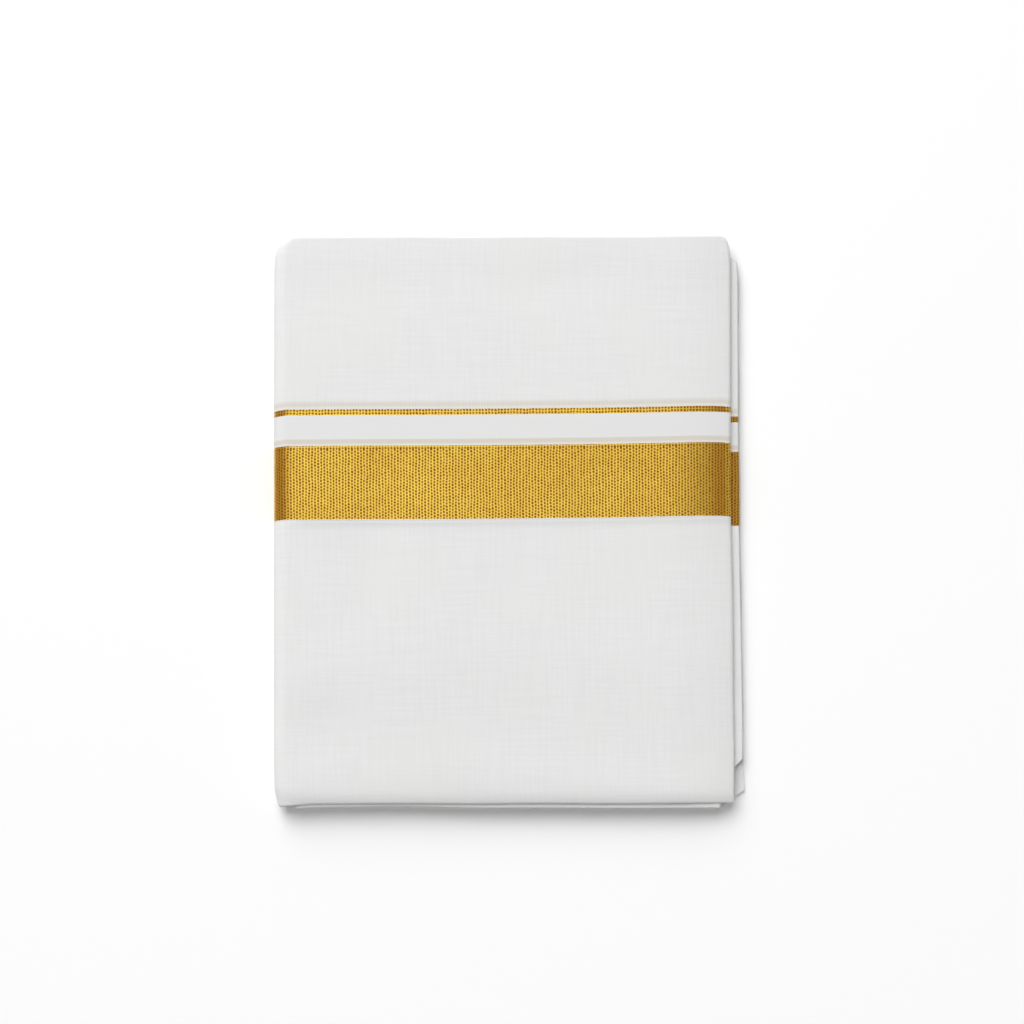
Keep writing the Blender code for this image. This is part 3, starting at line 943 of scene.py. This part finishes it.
class MakeFreeEnd(bpy.types.Operator):
    """Make the layers that lie inside the outer strip and show at its free end"""

    bl_idname = "dhoti.make_free_end"
    bl_label = "Free end"

    def execute(self, context):
        sizes, weave, colours = chosen(context)
        wide = OUTER_STRIP - 2 * sizes.thickness - 0.25 * MM
        lift = sizes.thickness + 0.125 * MM
        low = [(height + 0.9 * MM, depth + lift) for height, depth in nose(-1, wide)]
        top = STRIP_HALF - 2.5 * MM
        face = level(30 * MM, low[0][0], lift + wide, COARSE_ROWS)[:-1] + low
        face += level(low[-1][0], top, lift, COARSE_ROWS)[1:]
        cut = Cut(face, sizes.thickness)
        path = [step for step in outer_path() if step.to == "free end" and step.share > 0.86]
        path = [step._replace(share=step.share - 0.0022) for step in path]
        cotton = cloth_material("White cotton", colours, weave)
        made = sheet_of_cloth("layers_at_free_end", cut, path, sizes, cotton)
        return {"FINISHED"}


class MakeStage(bpy.types.Operator):
    """Make the floor, the lights and the camera"""

    bl_idname = "dhoti.make_stage"
    bl_label = "Stage"

    def execute(self, context):
        stage = context.scene.dhoti_stage
        bm = bmesh.new()
        bmesh.ops.create_circle(bm, cap_ends=True, segments=96, radius=9)
        bmesh.ops.translate(bm, vec=(0, 0, -0.1 * MM), verts=bm.verts[:])
        mesh = bpy.data.meshes.new("floor")
        bm.to_mesh(mesh)
        bm.free()
        pale = bpy.data.materials.new("Pale floor")
        pale.use_nodes = True
        shader = pale.node_tree.nodes["Principled BSDF"]
        shader.inputs["Base Color"].default_value = tuple(stage.floor)
        shader.inputs["Roughness"].default_value = 0.9
        shader.inputs["Specular IOR Level"].default_value = 0.1
        mesh.materials.append(pale)
        floor = bpy.data.objects.new("floor", mesh)
        context.scene.collection.objects.link(floor)

        def light(name, kind, place, aim, strength, **settings):
            data = bpy.data.lights.new(name, kind)
            data.energy = strength
            for setting, value in settings.items():
                setattr(data, setting, value)
            made = bpy.data.objects.new(name, data)
            made.location = place
            made.rotation_mode = "QUATERNION"
            made.rotation_quaternion = (Vector(aim) - Vector(place)).to_track_quat("-Z", "Y")
            context.scene.collection.objects.link(made)

        light("key", "SUN", (-0.72, 1.68, 1.56), (0, 0, 0), stage.key, angle=radians(54))
        light("far", "AREA", (-0.45, 0.88, 0.85), (0, 0.05, 0), stage.far, shape="DISK", size=0.55)

        world = bpy.data.worlds.new("room")
        world.use_nodes = True
        background = world.node_tree.nodes["Background"]
        background.inputs["Color"].default_value = (1, 1, 1, 1)
        nodes = Nodes(world.node_tree)
        rise = nodes.add("ShaderNodeSeparateXYZ")
        nodes.feed(rise.inputs[0], nodes.add("ShaderNodeTexCoord").outputs["Generated"])
        aside = nodes.maths("ABSOLUTE", nodes.maths("ADD", rise.outputs[0], 0.06))
        over = nodes.span(aside, 0.05, 0.36, stage.room, 0.08 * stage.room)
        right = nodes.span(rise.outputs[0], 0.15, 0.65, 0.0, stage.fill)
        nodes.feed(background.inputs["Strength"], nodes.maths("ADD", over, right))
        context.scene.world = world

        data = bpy.data.cameras.new("camera")
        data.lens = SENSOR * (stage.camera_height - STACK_HEIGHT) / PICTURE_WIDTH
        data.sensor_width = SENSOR
        data.clip_start = 0.05
        data.clip_end = 60
        camera = bpy.data.objects.new("camera", data)
        camera.location = (1.79 * MM, 6.26 * MM, stage.camera_height)
        context.scene.collection.objects.link(camera)
        context.scene.camera = camera
        context.scene.view_settings.view_transform = "Standard"
        return {"FINISHED"}


class DhotiPanel(bpy.types.Panel):
    """The folded dhoti's sizes, colours and pieces"""

    bl_idname = "VIEW3D_PT_dhoti"
    bl_label = "Folded dhoti"
    bl_space_type = "VIEW_3D"
    bl_region_type = "UI"
    bl_category = "Dhoti"

    def draw(self, context):
        scene = context.scene
        for title, values in (
            ("Sizes", scene.dhoti_sizes),
            ("Weave", scene.dhoti_weave),
            ("Colours", scene.dhoti_colours),
            ("Stage", scene.dhoti_stage),
        ):
            box = self.layout.box()
            box.label(text=title)
            for name in values.__annotations__:
                box.prop(values, name)
        for maker in MAKERS:
            self.layout.operator(maker.bl_idname)


MAKERS = (MakeUpperCloth, MakeBorder, MakeFrontCloth, MakeInnerStrips, MakeFreeEnd, MakeStage)
VALUES = {
    "dhoti_sizes": DhotiSizes,
    "dhoti_weave": DhotiWeave,
    "dhoti_colours": DhotiColours,
    "dhoti_stage": DhotiStage,
}


def register():
    for kind in (*VALUES.values(), *MAKERS, DhotiPanel):
        bpy.utils.register_class(kind)
    for name, kind in VALUES.items():
        setattr(bpy.types.Scene, name, bpy.props.PointerProperty(type=kind))


def unregister():
    for name in VALUES:
        delattr(bpy.types.Scene, name)
    for kind in (DhotiPanel, *reversed(MAKERS), *VALUES.values()):
        bpy.utils.unregister_class(kind)


def main():
    register()
    bpy.ops.dhoti.make_upper_cloth()
    bpy.ops.dhoti.make_border()
    bpy.ops.dhoti.make_front_cloth()
    bpy.ops.dhoti.make_inner_strips()
    bpy.ops.dhoti.make_free_end()
    bpy.ops.dhoti.make_stage()


if __name__ == "__main__":
    main()
